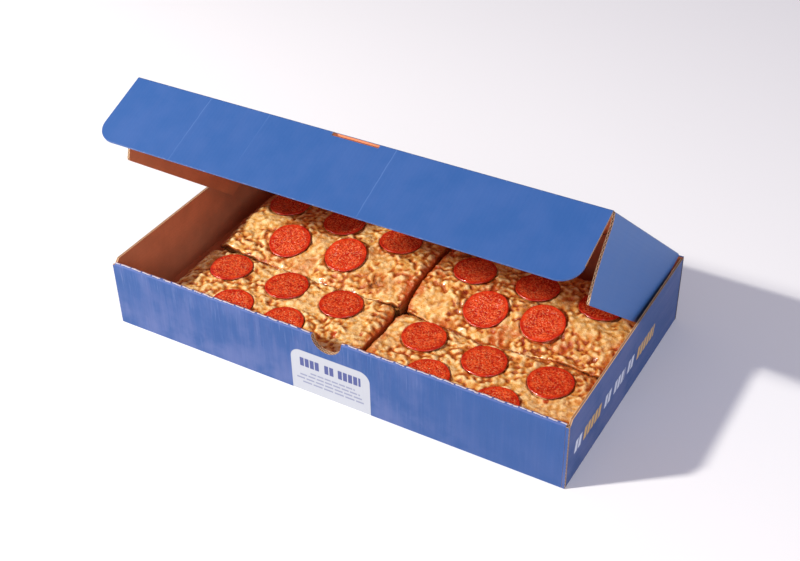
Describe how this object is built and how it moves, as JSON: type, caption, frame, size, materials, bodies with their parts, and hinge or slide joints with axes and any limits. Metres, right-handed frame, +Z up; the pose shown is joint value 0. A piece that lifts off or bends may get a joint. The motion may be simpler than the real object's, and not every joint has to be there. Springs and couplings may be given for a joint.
{
  "type": "pizza in its box",
  "caption": "Four-slice rectangular pepperoni pizza in a corrugated takeaway box, blue outside and kraft inside, with the hinged lid standing half open.",
  "frame": {"origin": "middle of the tray's footprint, on the surface it stands on", "axes": "+X along the long front wall, towards the right end; +Y from the front wall to the lid's hinge; +Z up"},
  "size_m": [0.38, 0.2114, 0.1905],
  "materials": {
    "board": "matt printed kraft board",
    "dough": "baked bread, stands in for food",
    "sauce": "wet, stands in for food",
    "cheese": "melted and oily, stands in for food",
    "meat": "oily, stands in for food"
  },
  "bodies": {
    "tray_and_pizza": {"tray": "board", "cheese_back_left": "cheese", "cheese_back_right": "cheese", "cheese_front_left": "cheese", "cheese_front_right": "cheese", "dough_back_left": "dough", "dough_back_right": "dough", "dough_front_left": "dough", "dough_front_right": "dough", "pepperoni_back_left_1": "meat", "pepperoni_back_left_2": "meat", "pepperoni_back_left_3": "meat", "pepperoni_back_left_4": "meat", "pepperoni_back_left_5": "meat", "pepperoni_back_right_1": "meat", "pepperoni_back_right_2": "meat", "pepperoni_back_right_3": "meat", "pepperoni_back_right_4": "meat", "pepperoni_back_right_5": "meat", "pepperoni_front_left_1": "meat", "pepperoni_front_left_2": "meat", "pepperoni_front_left_3": "meat", "pepperoni_front_left_4": "meat", "pepperoni_front_left_5": "meat", "pepperoni_front_right_1": "meat", "pepperoni_front_right_2": "meat", "pepperoni_front_right_3": "meat", "pepperoni_front_right_4": "meat", "pepperoni_front_right_5": "meat", "sauce_back_left": "sauce", "sauce_back_right": "sauce", "sauce_front_left": "sauce", "sauce_front_right": "sauce"},
    "lid": {"lid_panel": "board"},
    "front_flap": {"lid_front_flap": "board"},
    "left_flap": {"lid_left_flap": "board"},
    "right_flap": {"lid_right_flap": "board"}
  },
  "joints": [
    {"name": "lid_hinge", "type": "hinge", "parent": "tray_and_pizza", "child": "lid", "pos_m": [0, 0.10485, 0.06], "axis": [-1, 0, 0], "range_deg": [-36.5, 140]},
    {"name": "front_flap_fold", "type": "hinge", "parent": "lid", "child": "front_flap", "pos_m": [0, -0.05078, 0.18879], "axis": [1, 0, 0], "range_deg": [-61.5, 36.5]},
    {"name": "left_flap_fold", "type": "hinge", "parent": "lid", "child": "left_flap", "pos_m": [-0.1843, 0.1043, 0.05935], "axis": [0, -0.7677, 0.6408], "range_deg": [-0.8, 80.7]},
    {"name": "right_flap_fold", "type": "hinge", "parent": "lid", "child": "right_flap", "pos_m": [0.1853, 0.1043, 0.05935], "axis": [0, 0.7677, -0.6408], "range_deg": [-2, 78]}
  ]
}
